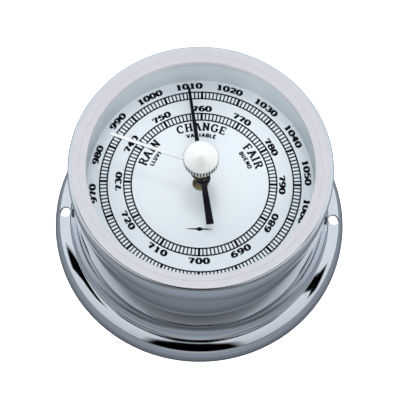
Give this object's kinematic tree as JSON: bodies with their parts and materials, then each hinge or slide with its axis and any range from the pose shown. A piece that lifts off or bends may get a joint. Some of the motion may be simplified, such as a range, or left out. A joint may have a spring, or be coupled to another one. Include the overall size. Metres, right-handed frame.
{
  "type": "aneroid barometer",
  "caption": "Round flanged marine barometer: chromed case, glazed dial with pressure scales, driven pointer, and a set hand turned by a knurled knob.",
  "frame": {"origin": "centre of the case's axis, on the plane of the flange's rim that lies against the wall", "axes": "+Z out of the dial towards the viewer, +Y to 12 o'clock on the dial, +X to 3 o'clock"},
  "size_m": [0.095, 0.095, 0.0563],
  "materials": {
    "chrome": "mirror-bright chrome plate on spun brass",
    "chrome_satin": "fine-turned pearl chrome",
    "nickel": "turned and polished nickel plate",
    "clear_glass": "clear polished flat glass",
    "white_lacquer": "smooth white dial lacquer",
    "pale_plastic": "smooth pale grey moulding",
    "black_rubber": "matte",
    "black_lacquer": "satin black lacquer",
    "zinc_plate": "zinc-plated steel",
    "brass": "turned and lightly brushed brass",
    "steel": "polished steel",
    "spring_steel": "blued spring steel",
    "nickel_silver": "pressed nickel silver"
  },
  "bodies": {
    "case": {"case": "chrome", "bezel_ring": "chrome_satin", "glass": "clear_glass", "dial_plate": "white_lacquer", "spacer_ring": "pale_plastic", "glass_gasket": "black_rubber", "back_cover": "zinc_plate", "back_cover_screws": "zinc_plate", "movement_screws": "zinc_plate", "dial_seat_ring": "brass", "back_seat_ring": "brass", "base_plate": "brass", "pillars": "brass", "lower_plate": "brass", "bridge_posts": "brass", "top_bridge": "brass", "spring_bracket": "brass", "spring_clamp": "brass", "hairspring_stud": "brass", "glass_bush": "brass", "capsule_foot": "brass", "lower_plate_screws": "steel", "bridge_screws": "steel", "bracket_screws": "steel", "clamp_screws": "steel", "rocker_pivots": "steel", "hairspring": "spring_steel", "capsule_lower": "nickel_silver", "capsule_upper": "nickel_silver"},
    "capsule_top": {"capsule_post": "nickel_silver", "knife_pin": "steel"},
    "lever": {"mainspring": "spring_steel", "main_lever": "brass", "lever_rivet": "brass", "link": "steel"},
    "rocker": {"rocking_shaft": "steel"},
    "sector": {"sector_gear": "brass", "sector_arbor": "steel"},
    "pointer": {"pointer_arbor": "steel", "pinion": "brass", "hairspring_collet": "brass", "pointer_hand": "black_lacquer", "pointer_bush": "brass"},
    "set_hand": {"set_knob": "nickel", "set_hand": "nickel", "set_spindle": "brass", "spring_washer": "spring_steel", "spindle_nut": "brass"},
    "adjuster": {"adjusting_screw": "brass"}
  },
  "joints": [
    {"name": "pointer_turn", "type": "hinge", "parent": "case", "child": "pointer", "pos_m": [0.00075, 0, 0.039], "axis": [0, 0, 1], "range_deg": [-112.5, 90]},
    {"name": "sector_swing", "type": "hinge", "parent": "case", "child": "sector", "pos_m": [0.00075, -0.018, 0.028], "axis": [0, 0, 1], "range_deg": [-11.25, 14.06]},
    {"name": "rocker_turn", "type": "hinge", "parent": "case", "child": "rocker", "pos_m": [0.00075, -0.018, 0.0228], "axis": [1, 0, 0], "range_deg": [-9.47, 7.57]},
    {"name": "lever_tilt", "type": "hinge", "parent": "case", "child": "lever", "pos_m": [0.00075, 0.024, 0.0194], "axis": [1, 0, 0], "range_deg": [-0.58, 0.73], "deforming": ["mainspring"]},
    {"name": "capsule_travel", "type": "slide", "parent": "case", "child": "capsule_top", "axis": [0, 0, 1], "range_m": [-0.0003055, 0.0002445], "deforming": ["capsule_upper"]},
    {"name": "set_hand_turn", "type": "hinge", "parent": "case", "child": "set_hand", "pos_m": [0, 0, 0.0495], "axis": [0, 0, 1], "continuous": true},
    {"name": "adjuster_turn", "type": "hinge", "parent": "case", "child": "adjuster", "pos_m": [0.00075, 0, 0.0097], "axis": [0, 0, 1], "range_deg": [-180, 180]}
  ],
  "couplings": [
    {"joint": "sector_swing", "follows": "pointer_turn", "ratio": -0.125},
    {"joint": "rocker_turn", "follows": "pointer_turn", "ratio": 0.084135},
    {"joint": "lever_tilt", "follows": "pointer_turn", "ratio": -0.0064719},
    {"joint": "capsule_travel", "follows": "pointer_turn", "m_per_rad": 0.00015533}
  ]
}
